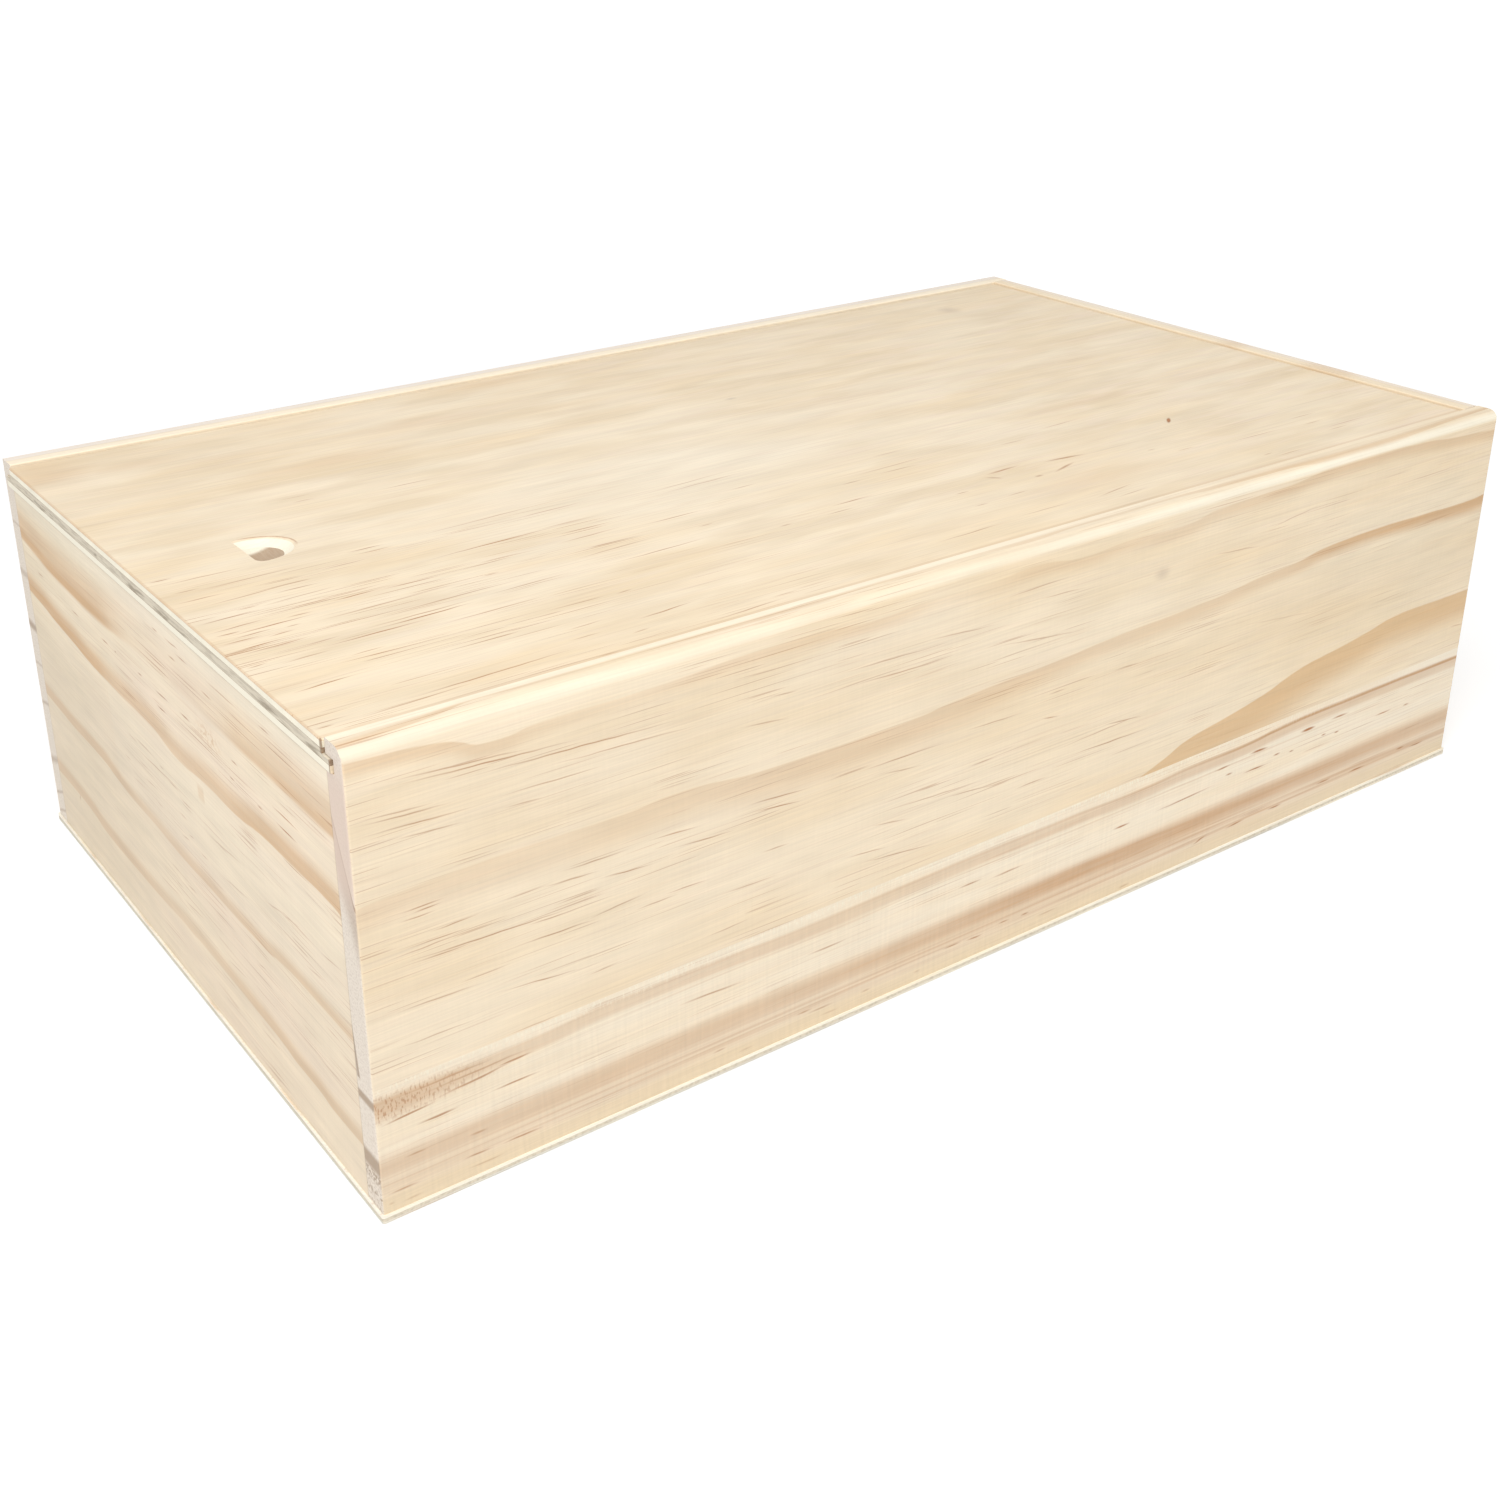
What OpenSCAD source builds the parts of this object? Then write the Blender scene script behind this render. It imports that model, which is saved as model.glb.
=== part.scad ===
// A pine box with a plywood lid that slides out over a low front end.
// Millimetres. The origin is the middle of the underside, +Z is up.
// The lid opens towards -X, the right long side faces -Y.

/* [Box] */
// Outside length of the walls, along the way the lid slides
box_l = 360; // [240:5:480]
// Outside width of the walls
box_w = 210; // [130:5:320]
// Height from the underside of the base to the rim
box_h = 110; // [70:5:180]

/* [Walls] */
// Thickness of the two long sides
side_t = 7; // [6:0.5:10]
// Thickness of the two end boards
end_t = 6; // [5.5:0.5:10]
// Radius of the rounded outer edge of the right side's rim
rim_r = 3; // [1:0.25:3.5]
// Radius that eases the outer edges of the left side's rim and the rear's
far_rim_r = 0.7; // [0.4:0.1:3.5]
// Radius of the four upright outer corners
corner_r = 0.6; // [0.4:0.1:3]
// Radius that eases the inner edge of the rim and the outer edge of the sill
arris_r = 0.4; // [0.2:0.1:0.8]
// Height of the right side's glue line above the walls' lower edge, at the front
joint_front_h = 31.2; // [20:0.2:40]
// Height of the same glue line at the rear
joint_rear_h = 34.2; // [20:0.2:40]

/* [Base] */
// Thickness of each outer ply of the base
base_face_t = 0.5; // [0.4:0.1:1.5]
// Thickness of the base's core ply
base_core_t = 0.8; // [0.5:0.1:3]
// How far the base stands proud of the walls
base_proud = 0.5; // [0:0.1:2]

/* [Lid] */
// Thickness of the lid's face ply
lid_face_t = 1.8; // [1:0.1:2.2]
// Thickness of the lid's core ply
lid_core_t = 2.4; // [2:0.1:4]
// Thickness of the lid's back ply
lid_back_t = 1.6; // [1:0.1:2]
// How deep the step along the lid's edges cuts into the core ply
step_into_core = 1.2; // [0.4:0.1:1.6]
// How far the lid's face lies below the rim
lid_drop = 0.7; // [0.5:0.1:2]
// How far the lid's front edge stands out past the front end
lid_overhang = 0.5; // [0:0.1:3]
// Radius that eases the lid's upper edges
lid_arris_r = 0.3; // [0.1:0.05:0.6]

/* [Groove] */
// Depth of the groove in the walls
groove_d = 3.4; // [2:0.2:4]
// Gap under the tongue and over it
slide_gap = 0.2; // [0.1:0.05:0.4]
// Gap at each long edge of the lid, beside the lip and beside the tongue
edge_gap = 0.6; // [0.2:0.1:1]
// Gap at the lid's rear edge when it is closed
stop_gap = 0.3; // [0.1:0.1:0.8]

/* [Finger notch] */
// Distance of the notch's straight front edge from the front end
notch_x = 26; // [16:1:60]
// Distance of the notch's middle from the box's middle line, to the left
notch_y = 2.8; // [-20:0.2:20]
// Half the scoop's length in the lid's face, along the box
notch_reach = 11; // [10.2:0.2:14]
// Half the scoop's width in the lid's face
notch_half_w = 8.4; // [6:0.2:10]
// Depth of the scoop at its middle
notch_depth = 3.6; // [2:0.1:3.8]
// Distance from the straight front edge back to the scoop's middle
notch_setback = 1.4; // [0:0.2:4]
// Radius of the notch's front corner on the right
notch_corner_r = 2.4; // [0.6:0.2:3]

/* [Brads] */
// Diameter of a brad's shank
brad_d = 1.2; // [0.8:0.1:1.8]
// Diameter of a brad's head
brad_head_d = 2.2; // [1.8:0.1:3]
// Thickness of a brad's head
brad_head_t = 0.5; // [0.3:0.1:0.6]
// Length of a brad, head and point included
brad_len = 15; // [10:1:20]
// How deep the heads are set below the base's underside
brad_set = 0.1; // [0.05:0.05:0.1]
// Greatest distance between two brads
brad_pitch = 80; // [40:5:120]
// Distance from the first brad of a row to the end of its board
brad_inset = 20; // [12:1:30]
// Clearance round a brad in its hole
brad_fit = 0.02; // [0.01:0.01:0.1]

/* [Hidden] */
$fn = 64;

// Cuts run this far past the face that they start from
over = 1;

pine = "#F1DEB9";
pine_lower = "#E9D0A6";
end_pine = "#F0E0C2";
veneer_pale = "#F3E6C8";
veneer_grey = "#C9BFA9";
steel = "#B9BABD";

// Levels, from the underside up
base_t = 2 * base_face_t + base_core_t;
wall_h = box_h - base_t;
lid_t = lid_face_t + lid_core_t + lid_back_t;
step_h = lid_face_t + step_into_core;
tongue_t = lid_t - step_h;
lid_top = box_h - lid_drop;
lid_bottom = lid_top - lid_t;
groove_h = tongue_t + 2 * slide_gap;
groove_floor = lid_bottom - slide_gap;

// Places along the box and across it
front_x = -box_l / 2;
rear_x = box_l / 2;
inner_w = box_w - 2 * side_t;
rear_inner_x = rear_x - end_t;
lid_front_x = front_x - lid_overhang;
step_rear_x = rear_inner_x - stop_gap;
tongue_rear_x = rear_inner_x + groove_d - stop_gap;
step_w = inner_w - 2 * edge_gap;
tongue_w = inner_w + 2 * groove_d - 2 * edge_gap;

// Radius of the arc that is so deep under a chord of half-length half
function arc_radius(half, depth) = (half * half + depth * depth) / (2 * depth);

// The scoop is an arc that is swung round an axis across the box, over the lid
scoop_across_r = arc_radius(notch_half_w, notch_depth);
scoop_along_r = arc_radius(notch_reach, notch_depth);

brad_r = brad_d / 2;
brad_head_r = brad_head_d / 2;
brad_point = 2 * brad_r;

// What comes off a square corner to leave a quarter round of radius r: the corner points
// to +X and +Y and the round is centred on the origin
module quarter_round_cut(r) {
    difference() {
        square([r + over, r + over]);
        circle(r);
    }
}

// A slab's cross-section, centred and standing on y = 0, with both upper corners eased
module eased_section(width, height, r) {
    difference() {
        translate([-width / 2, 0])
            square([width, height]);
        for (side = [0, 1])
            mirror([side, 0])
                translate([width / 2 - r, height - r])
                    quarter_round_cut(r);
    }
}

// Cross-section of a long side, seen along the box: x is the distance from the outer face
// to the inner one, y is the height. The rim's outer edge has the radius outer_r and the
// groove is cut in.
module side_section(outer_r) {
    difference() {
        translate([0, base_t])
            square([side_t, wall_h]);
        translate([outer_r, box_h - outer_r])
            mirror([1, 0])
                quarter_round_cut(outer_r);
        translate([side_t - arris_r, box_h - arris_r])
            quarter_round_cut(arris_r);
        translate([side_t - groove_d, groove_floor])
            square([groove_d + over, groove_h]);
    }
}

// Plan of a long side: y runs from the outer face inwards, both outer corners are rounded
module side_plan() {
    difference() {
        translate([front_x, 0])
            square([box_l, side_t]);
        for (end = [0, 1])
            mirror([end, 0])
                translate([rear_x - corner_r, corner_r])
                    mirror([0, 1])
                        quarter_round_cut(corner_r);
    }
}

// A whole long side with its outer face on the plane y = 0 and its inner face towards +Y
module side_wall(outer_r) {
    intersection() {
        translate([front_x, 0, 0])
            rotate([90, 0, 90])
                linear_extrude(box_l)
                    side_section(outer_r);
        linear_extrude(box_h)
            side_plan();
    }
}

// The space under the right side's glue line, over the wall's whole thickness
module under_glue_line() {
    joint_front_z = base_t + joint_front_h;
    joint_rear_z = base_t + joint_rear_h;
    translate([0, side_t + over, 0])
        rotate([90, 0, 0])
            linear_extrude(side_t + 2 * over)
                polygon([
                    [front_x, 0], [rear_x, 0],
                    [rear_x, joint_rear_z], [front_x, joint_front_z]
                ]);
}

// Distances of the brads in a row from its middle
function brad_row(length) =
    let (run = length - 2 * brad_inset, gaps = ceil(run / brad_pitch))
    [for (i = [0 : gaps]) -run / 2 + i * run / gaps];

// Puts its child at every brad, with the underside of the base as its floor
module at_brads() {
    for (x = brad_row(box_l), side = [-1, 1])
        translate([x, side * (box_w / 2 - side_t / 2), 0])
            children();
    for (y = brad_row(inner_w), end = [-1, 1])
        translate([end * (box_l / 2 - end_t / 2), y, 0])
            children();
}

// One brad, head down, point up
module brad() {
    translate([0, 0, brad_set]) {
        cylinder(r = brad_head_r, h = brad_head_t);
        cylinder(r = brad_r, h = brad_len - brad_point);
        translate([0, 0, brad_len - brad_point])
            cylinder(r1 = brad_r, r2 = brad_r / 5, h = brad_point);
    }
}

// The hole that one brad makes: its head's dent, then its shank's bore
module brad_hole() {
    translate([0, 0, -over])
        cylinder(r = brad_head_r + brad_fit, h = over + brad_set + brad_head_t + brad_fit);
    translate([0, 0, -over])
        cylinder(r = brad_r + brad_fit, h = over + brad_set + brad_len + brad_fit);
}

// Takes the brads' holes out of its children
module drilled() {
    difference() {
        children();
        at_brads()
            brad_hole();
    }
}

// One ply of the base, between two heights
module base_ply(low, thickness) {
    ply_l = box_l + 2 * base_proud;
    ply_w = box_w + 2 * base_proud;
    drilled()
        translate([-ply_l / 2, -ply_w / 2, low])
            difference() {
                cube([ply_l, ply_w, thickness]);
                for (x = [0, 1], y = [0, 1])
                    translate([x * ply_l, y * ply_w, -over])
                        mirror([1 - x, 0, 0])
                            mirror([0, 1 - y, 0])
                                translate([-corner_r, -corner_r, 0])
                                    linear_extrude(thickness + 2 * over)
                                        quarter_round_cut(corner_r);
            }
}

// The scooped hollow before its front is cut off, at its place in the lid
module scoop() {
    translate([front_x + notch_x + notch_setback, notch_y,
               lid_top - notch_depth + scoop_along_r])
        rotate([90, 0, 0])
            rotate_extrude($fn = 128)
                intersection() {
                    translate([scoop_along_r - scoop_across_r, 0])
                        circle(scoop_across_r, $fn = 128);
                    translate([0, -scoop_across_r])
                        square([scoop_along_r, 2 * scoop_across_r]);
                }
}

// The notch for a finger: the scoop behind its straight front edge, one corner rounded
module finger_notch() {
    block = 2 * notch_reach;
    front_half_w = notch_half_w * sqrt(1 - pow(notch_setback / notch_reach, 2));
    intersection() {
        scoop();
        translate([front_x + notch_x, notch_y, lid_bottom])
            linear_extrude(lid_t + over)
                difference() {
                    translate([0, -block / 2])
                        square(block);
                    translate([notch_corner_r, notch_corner_r - front_half_w])
                        mirror([1, 0])
                            mirror([0, 1])
                                quarter_round_cut(notch_corner_r);
                    translate([-over, -block])
                        square([notch_corner_r + over, block - front_half_w]);
                }
    }
}

// A slab of the lid over the part inside the lips
module lid_step(low, thickness) {
    translate([lid_front_x, -step_w / 2, low])
        cube([step_rear_x - lid_front_x, step_w, thickness]);
}

// A slab of the lid that reaches into the grooves
module lid_tongue(low, thickness) {
    translate([lid_front_x, -tongue_w / 2, low])
        cube([tongue_rear_x - lid_front_x, tongue_w, thickness]);
}

module right_side_upper_lath() {
    color(pine)
        translate([0, -box_w / 2, 0])
            difference() {
                side_wall(rim_r);
                under_glue_line();
            }
}

module right_side_lower_lath() {
    color(pine_lower)
        drilled()
            translate([0, -box_w / 2, 0])
                intersection() {
                    side_wall(rim_r);
                    under_glue_line();
                }
}

module left_side_board() {
    color(pine)
        drilled()
            mirror([0, 1, 0])
                translate([0, -box_w / 2, 0])
                    side_wall(far_rim_r);
}

// Low board between the sides: its top is the sill, level with the groove's floor
module front_end_board() {
    color(end_pine)
        drilled()
            translate([front_x, inner_w / 2, base_t])
                rotate([90, 0, 0])
                    linear_extrude(inner_w)
                        difference() {
                            square([end_t, groove_floor - base_t]);
                            translate([arris_r, groove_floor - base_t - arris_r])
                                mirror([1, 0])
                                    quarter_round_cut(arris_r);
                        }
}

// Full-height board between the sides, with a lip and a groove like theirs
module rear_end_board() {
    color(end_pine)
        drilled()
            difference() {
                translate([rear_inner_x, -inner_w / 2, base_t])
                    cube([end_t, inner_w, wall_h]);
                translate([rear_inner_x - over, -box_w / 2, groove_floor])
                    cube([groove_d + over, box_w, groove_h]);
                translate([0, box_w / 2, 0])
                    rotate([90, 0, 0])
                        linear_extrude(box_w) {
                            translate([rear_x - far_rim_r, box_h - far_rim_r])
                                quarter_round_cut(far_rim_r);
                            translate([rear_inner_x + arris_r, box_h - arris_r])
                                mirror([1, 0])
                                    quarter_round_cut(arris_r);
                        }
            }
}

module base_top_ply() {
    color(veneer_pale)
        base_ply(base_face_t + base_core_t, base_face_t);
}

module base_core_ply() {
    color(veneer_grey)
        base_ply(base_face_t, base_core_t);
}

module base_bottom_ply() {
    color(veneer_pale)
        base_ply(0, base_face_t);
}

module base_brads() {
    color(steel)
        at_brads()
            brad();
}

// The ply's section along the lid meets its section across it, so all upper edges are eased
module lid_face_ply() {
    step_l = step_rear_x - lid_front_x;
    color(veneer_pale)
        difference() {
            intersection() {
                translate([lid_front_x, 0, lid_top - lid_face_t])
                    rotate([90, 0, 90])
                        linear_extrude(step_l)
                            eased_section(step_w, lid_face_t, lid_arris_r);
                translate([lid_front_x + step_l / 2, step_w / 2, lid_top - lid_face_t])
                    rotate([90, 0, 0])
                        linear_extrude(step_w)
                            eased_section(step_l, lid_face_t, lid_arris_r);
            }
            finger_notch();
        }
}

// The lid's edges step in half way up this ply
module lid_core_ply() {
    color(veneer_grey)
        difference() {
            union() {
                lid_tongue(lid_bottom + lid_back_t, lid_core_t - step_into_core);
                lid_step(lid_bottom + lid_back_t, lid_core_t);
            }
            finger_notch();
        }
}

module lid_back_ply() {
    color(veneer_pale)
        difference() {
            lid_tongue(lid_bottom, lid_back_t);
            finger_notch();
        }
}

right_side_upper_lath();
right_side_lower_lath();
left_side_board();
front_end_board();
rear_end_board();
base_top_ply();
base_core_ply();
base_bottom_ply();
base_brads();
lid_face_ply();
lid_core_ply();
lid_back_ply();
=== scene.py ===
"""The looks of a pine box with a sliding plywood lid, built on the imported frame.

Each board is painted by a shader that works in millimetres from the board's own faces:
`along` its grain, `across` it, and `depth` below the face that shows. Growth rings, resin
streaks and knots have their places in these coordinates, so they run on through the wood.
"""
import math

import bpy
from mathutils import Matrix, Vector

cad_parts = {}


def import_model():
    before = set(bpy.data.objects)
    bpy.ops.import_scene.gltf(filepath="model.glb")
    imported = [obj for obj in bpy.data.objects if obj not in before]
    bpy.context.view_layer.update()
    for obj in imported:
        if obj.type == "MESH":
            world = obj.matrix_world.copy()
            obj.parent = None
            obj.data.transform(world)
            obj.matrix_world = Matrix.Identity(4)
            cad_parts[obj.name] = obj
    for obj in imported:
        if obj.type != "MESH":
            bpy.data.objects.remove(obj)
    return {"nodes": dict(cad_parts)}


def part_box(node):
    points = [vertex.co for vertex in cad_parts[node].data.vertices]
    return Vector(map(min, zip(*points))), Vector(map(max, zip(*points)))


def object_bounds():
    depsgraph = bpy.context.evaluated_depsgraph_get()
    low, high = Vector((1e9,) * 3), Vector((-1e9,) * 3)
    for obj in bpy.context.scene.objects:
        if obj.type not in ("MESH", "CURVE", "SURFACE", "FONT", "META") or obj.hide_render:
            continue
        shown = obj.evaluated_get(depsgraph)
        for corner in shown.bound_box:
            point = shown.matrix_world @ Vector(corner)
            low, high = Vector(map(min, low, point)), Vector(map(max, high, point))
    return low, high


MM = 0.001

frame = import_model()
cad_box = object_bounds()
nodes = frame["nodes"]

# Where the boards' coordinates start: (axis, place in metres, direction)
ALONG_BOX = ("X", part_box("front_end_board")[0].x, 1)
FROM_LEFT = ("Y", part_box("left_side_board")[1].y, -1)
FROM_RIM = ("Z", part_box("right_side_upper_lath")[1].z, -1)
INTO_RIGHT = ("Y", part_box("right_side_upper_lath")[0].y, 1)
INTO_LEFT = FROM_LEFT
INTO_FRONT = ALONG_BOX
INTO_REAR = ("X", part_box("rear_end_board")[1].x, -1)
INTO_LID = ("Z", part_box("lid_face_ply")[1].z, -1)
INTO_BASE = ("Z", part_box("base_bottom_ply")[0].z, 1)


def colour(code):
    """A colour as it looks on a screen, "#RRGGBB", in a shader's linear numbers."""
    channels = [int(code[i:i + 2], 16) / 255 for i in (1, 3, 5)]
    linear = [c / 12.92 if c <= 0.04045 else ((c + 0.055) / 1.055) ** 2.4 for c in channels]
    return (*linear, 1.0)


PALE = colour("#F4E4C9")
WARM = colour("#EFDAB8")
PINKISH = colour("#F0DDC6")
LOWER_PALE = colour("#F5E9D3")
GREENISH = colour("#E9D9BC")
LATEWOOD = colour("#D3AE83")
OCHRE = colour("#DDB77F")
RUSSET = colour("#C79F77")
STREAK = colour("#AC7343")
SHADED = colour("#DFC9A6")
# The colour of freshly cut wood, also laid as a painted highlight along the rounded rim
FRESH_CUT_AND_HIGHLIGHT = colour("#F9F2DE")
# Painted light on the rims' inner edges and lips, over the wood's own cream
CREAM = colour("#FFF2DA")
# Painted reflection: the grey-lavender of the rims' rounded outer edges
REFLECTION_LAVENDER = colour("#F0E6DC")
# Painted shade: a greyer tan laid on the sides to darken them towards the front end and lower
# down
PAINTED_SHADE = colour("#DCCCB4")
RAW_PALE = colour("#F6F2E6")
END_PALE = colour("#E9DED0")
END_PINK = colour("#DFC8B8")
# Dark end grain and dark joints, also laid as a painted shadow under the lid
END_DARK_AND_SHADOW = colour("#9F8468")
VIOLET_GREY = colour("#B7A392")
CORE_PALE = colour("#DED4C0")
CORE_DARK = colour("#A89C88")
CORE_BROWN = colour("#AF957B")
BURNT = colour("#8C6D50")
BASE_EDGE = colour("#DBD9CE")


# ---------------------------------------------------------------- shader arithmetic

FLATTEST_CURVE = 1e-3


class Field:
    """A number, vector or colour that varies over a surface: one output of a shader node."""

    def __init__(self, paint, socket):
        self.paint = paint
        self.socket = socket

    def __add__(self, other):
        return self.paint.math("ADD", self, other)

    def __sub__(self, other):
        return self.paint.math("SUBTRACT", self, other)

    def __rsub__(self, other):
        return self.paint.math("SUBTRACT", other, self)

    def __mul__(self, other):
        return self.paint.math("MULTIPLY", self, other)

    __rmul__ = __mul__

    def size(self):
        return self.paint.math("ABSOLUTE", self)

    def larger(self, other):
        return self.paint.math("MAXIMUM", self, other)

    def ramp(self, start, end, low=0.0, high=1.0):
        """Goes smoothly from low at start to high at end, and stays there."""
        node = self.paint.add("ShaderNodeMapRange", interpolation_type="SMOOTHSTEP")
        return self.paint.wire(node, (self, start, end, low, high))

    def window(self, start, end, soft):
        """1 between start and end, falling to 0 over soft on either side."""
        return self.ramp(start - soft, start + soft) * self.ramp(end - soft, end + soft, 1.0, 0.0)

    def line(self, points):
        """A smooth line through given points: this field is x, the answer is y."""
        xs = [x for x, _ in points]
        ys = [y for _, y in points]
        low_x, low_y = min(xs), min(ys)
        run = max(xs) - low_x
        rise = max(max(ys) - low_y, FLATTEST_CURVE)
        node = self.paint.add("ShaderNodeFloatCurve")
        curve = node.mapping.curves[0]
        spots = [((x - low_x) / run, (y - low_y) / rise) for x, y in points]
        curve.points[0].location = spots[0]
        curve.points[-1].location = spots[-1]
        for spot in spots[1:-1]:
            curve.points.new(*spot)
        node.mapping.update()
        share = self.paint.math("MULTIPLY_ADD", self, 1 / run, -low_x / run)
        height = self.paint.wire(node, (1.0, share))
        return self.paint.math("MULTIPLY_ADD", height, rise, low_y)


class Paint:
    """The nodes of one material or world. Its methods hand back their outputs as Fields."""

    def __init__(self, owner):
        owner.use_nodes = True
        self.owner = owner
        self.tree = owner.node_tree
        self.tree.nodes.clear()

    def add(self, kind, **settings):
        node = self.tree.nodes.new(kind)
        for setting, value in settings.items():
            setattr(node, setting, value)
        return node

    def plug(self, socket, value):
        """Links a Field to a socket, or sets the socket to a plain value."""
        if isinstance(value, Field):
            self.tree.links.new(value.socket, socket)
        elif value is not None:
            socket.default_value = value

    def wire(self, node, values, output=0):
        for socket, value in zip(node.inputs, values):
            self.plug(socket, value)
        return Field(self, node.outputs[output])

    def math(self, operation, *values):
        return self.wire(self.add("ShaderNodeMath", operation=operation), values)

    def vector(self, x, y, z=0.0):
        return self.wire(self.add("ShaderNodeCombineXYZ"), (x, y, z))

    def mix(self, share, first, second, blend="MIX"):
        node = self.add("ShaderNodeMix", data_type="RGBA", blend_type=blend)
        for name, value in (("Factor_Float", share), ("A_Color", first), ("B_Color", second)):
            socket = next(s for s in node.inputs if s.identifier == name)
            self.plug(socket, value)
        return Field(self, next(s for s in node.outputs if s.identifier == "Result_Color"))

    def seen_directly(self):
        """1 for rays from the camera, a gloss or through glass, and 0 for the light's rays."""
        path = self.add("ShaderNodeLightPath")
        rays = [Field(self, path.outputs[name]) for name in
                ("Is Camera Ray", "Is Glossy Ray", "Is Transmission Ray")]
        return rays[0].larger(rays[1]).larger(rays[2])

    def surface(self, base, roughness, metallic=0.0, height=None, relief=0.05):
        """Ends a material: base colour, roughness, and a height whose 1 is relief mm."""
        shader = self.add("ShaderNodeBsdfPrincipled")
        self.plug(shader.inputs["Base Color"], base)
        self.plug(shader.inputs["Roughness"], roughness)
        self.plug(shader.inputs["Metallic"], metallic)
        if height is not None:
            bump = self.add("ShaderNodeBump")
            bump.inputs["Distance"].default_value = relief * MM
            self.plug(bump.inputs["Height"], height)
            self.tree.links.new(bump.outputs[0], shader.inputs["Normal"])
        output = self.add("ShaderNodeOutputMaterial")
        self.tree.links.new(shader.outputs[0], output.inputs["Surface"])
        return self.owner


# ---------------------------------------------------------------- wood

MARKS_IN_A_LOT = 45
LOT_NUDGE = 0.02

# How strongly the fibres and the cutter's chatter darken a board and roughen it
FIBRE_SHADE = 0.2
CHATTER_SHADE = 0.14
FIBRE_RELIEF = 0.6
SANDED_ROUGHNESS = 0.58
FIBRE_ROUGHNESS = 0.1


class Board(Paint):
    """The paint of one board, in its own millimetres."""

    def __init__(self, name, along, across, depth, seed):
        super().__init__(bpy.data.materials.new(name))
        self.seed = seed
        place = self.wire(self.add("ShaderNodeTexCoord"), (), output=3)
        axes = self.wire(self.add("ShaderNodeSeparateXYZ"), (place,)).socket.node
        self.along, self.across, self.depth = (
            self.math("MULTIPLY_ADD", Field(self, axes.outputs["XYZ".index(axis)]),
                      sign / MM, -start * sign / MM)
            for axis, start, sign in (along, across, depth))
        self.grain_axis = along[0]
        self.plane = self.vector(self.along, self.across)

    def noise(self, length, pitch, detail=1.0, warp=0.0):
        """Cloudy noise, 0 to 1, whose lumps are length mm along the grain and pitch mm across."""
        self.seed += 1
        node = self.add("ShaderNodeTexNoise", noise_dimensions="3D")
        spot = self.vector(
            self.math("MULTIPLY_ADD", self.along, 1 / length, 7.31 * self.seed),
            self.math("MULTIPLY_ADD", self.across, 1 / pitch, 3.77 * self.seed),
            self.math("MULTIPLY", self.depth, 1 / pitch))
        node.inputs["Scale"].default_value = 1.0
        node.inputs["Detail"].default_value = detail
        node.inputs["Distortion"].default_value = warp
        self.plug(node.inputs["Vector"], spot)
        return Field(self, node.outputs[0])

    def bend(self, sway=0.35, tilt=0.0):
        """Sets up what all rings share: a slightly wavy across, and the face's plane."""
        slow = self.noise(28, 9) - 0.5
        quick = self.noise(7, 2.2) - 0.5
        self.bent = self.across + self.depth * tilt + slow * (2 * sway) + quick * (0.7 * sway)
        self.plane = self.vector(self.along, self.across + quick * 0.5)

    def ring(self, edge, fade, strength, crisp=0.25, side=1, at=None):
        """Latewood of a growth ring: sharp at the line edge, gone fade mm to one side of it."""
        inside = ((self.bent if at is None else at) - edge) * side
        return inside.ramp(-crisp, crisp) * inside.ramp(fade * 0.25, fade, 1.0, 0.0) * strength

    def stripes(self, rows):
        """Rings seen as stripes, in rows of (middle, half-width, softness, strength)."""
        total = None
        for middle, half, soft, strength in rows:
            stripe = (self.bent - middle).window(-half, half, soft) * strength
            total = stripe if total is None else total.larger(stripe)
        return total

    def reach(self, along, across, half_length, half_height, turn=0.0):
        """Distance from the middle of an ellipse in the face, where 1 is its outline."""
        node = self.add("ShaderNodeMapping", vector_type="TEXTURE")
        spot = self.wire(node, (self.plane, (along, across, 0), (0, 0, turn),
                                (half_length, half_height, 1)))
        length = self.add("ShaderNodeVectorMath", operation="LENGTH")
        return self.wire(length, (spot,), output=1)

    def patch(self, along, across, half_length, half_height, strength, turn=0.0):
        """A soft ellipse in the face, strength at its middle."""
        reach = self.reach(along, across, half_length, half_height, turn)
        return reach.ramp(0.0, 1.0, strength, 0.0)

    def patches(self, rows):
        """Soft ellipses: (along, across, half-length, half-height, strength) each."""
        total = None
        for row in rows:
            cloud = self.patch(*row)
            total = cloud if total is None else total.larger(cloud)
        return total

    def marks(self, rows, thick=0.26):
        """Fine streaks. A row is (start along, end along, start across, end across, strength).

        After each lot of rows the plane is nudged by a hair with what is drawn so far. So the
        next lot waits for it, which keeps the renderer's stack of open values small.
        """
        total = None
        for number, (start, end, top, foot, strength) in enumerate(rows, 1):
            run = end - start
            drop = foot - top
            mark = self.patch((start + end) / 2, (top + foot) / 2, math.hypot(run, drop) / 2,
                              thick, strength, math.atan2(drop, run))
            total = mark if total is None else total.larger(mark)
            if number % MARKS_IN_A_LOT == 0:
                across = Field(self, self.plane.socket.node.inputs[1].links[0].from_socket)
                self.plane = self.vector(self.along, total * LOT_NUDGE + across)
        return total

    def end_grain(self):
        """1 on the faces that cut the grain, 0 on the others."""
        normal = self.wire(self.add("ShaderNodeTexCoord"), (), output=1)
        axes = self.wire(self.add("ShaderNodeSeparateXYZ"), (normal,)).socket.node
        facing = Field(self, axes.outputs["XYZ".index(self.grain_axis)])
        return facing.size().ramp(0.6, 0.9)

    def ground(self, pale=PALE, warm=WARM, cloud=(70, 18)):
        """The board's colour between its rings: pale with warm clouds."""
        clouds = self.noise(*cloud, detail=2)
        return self.mix(clouds.ramp(0.35, 0.7), pale, warm)

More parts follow.
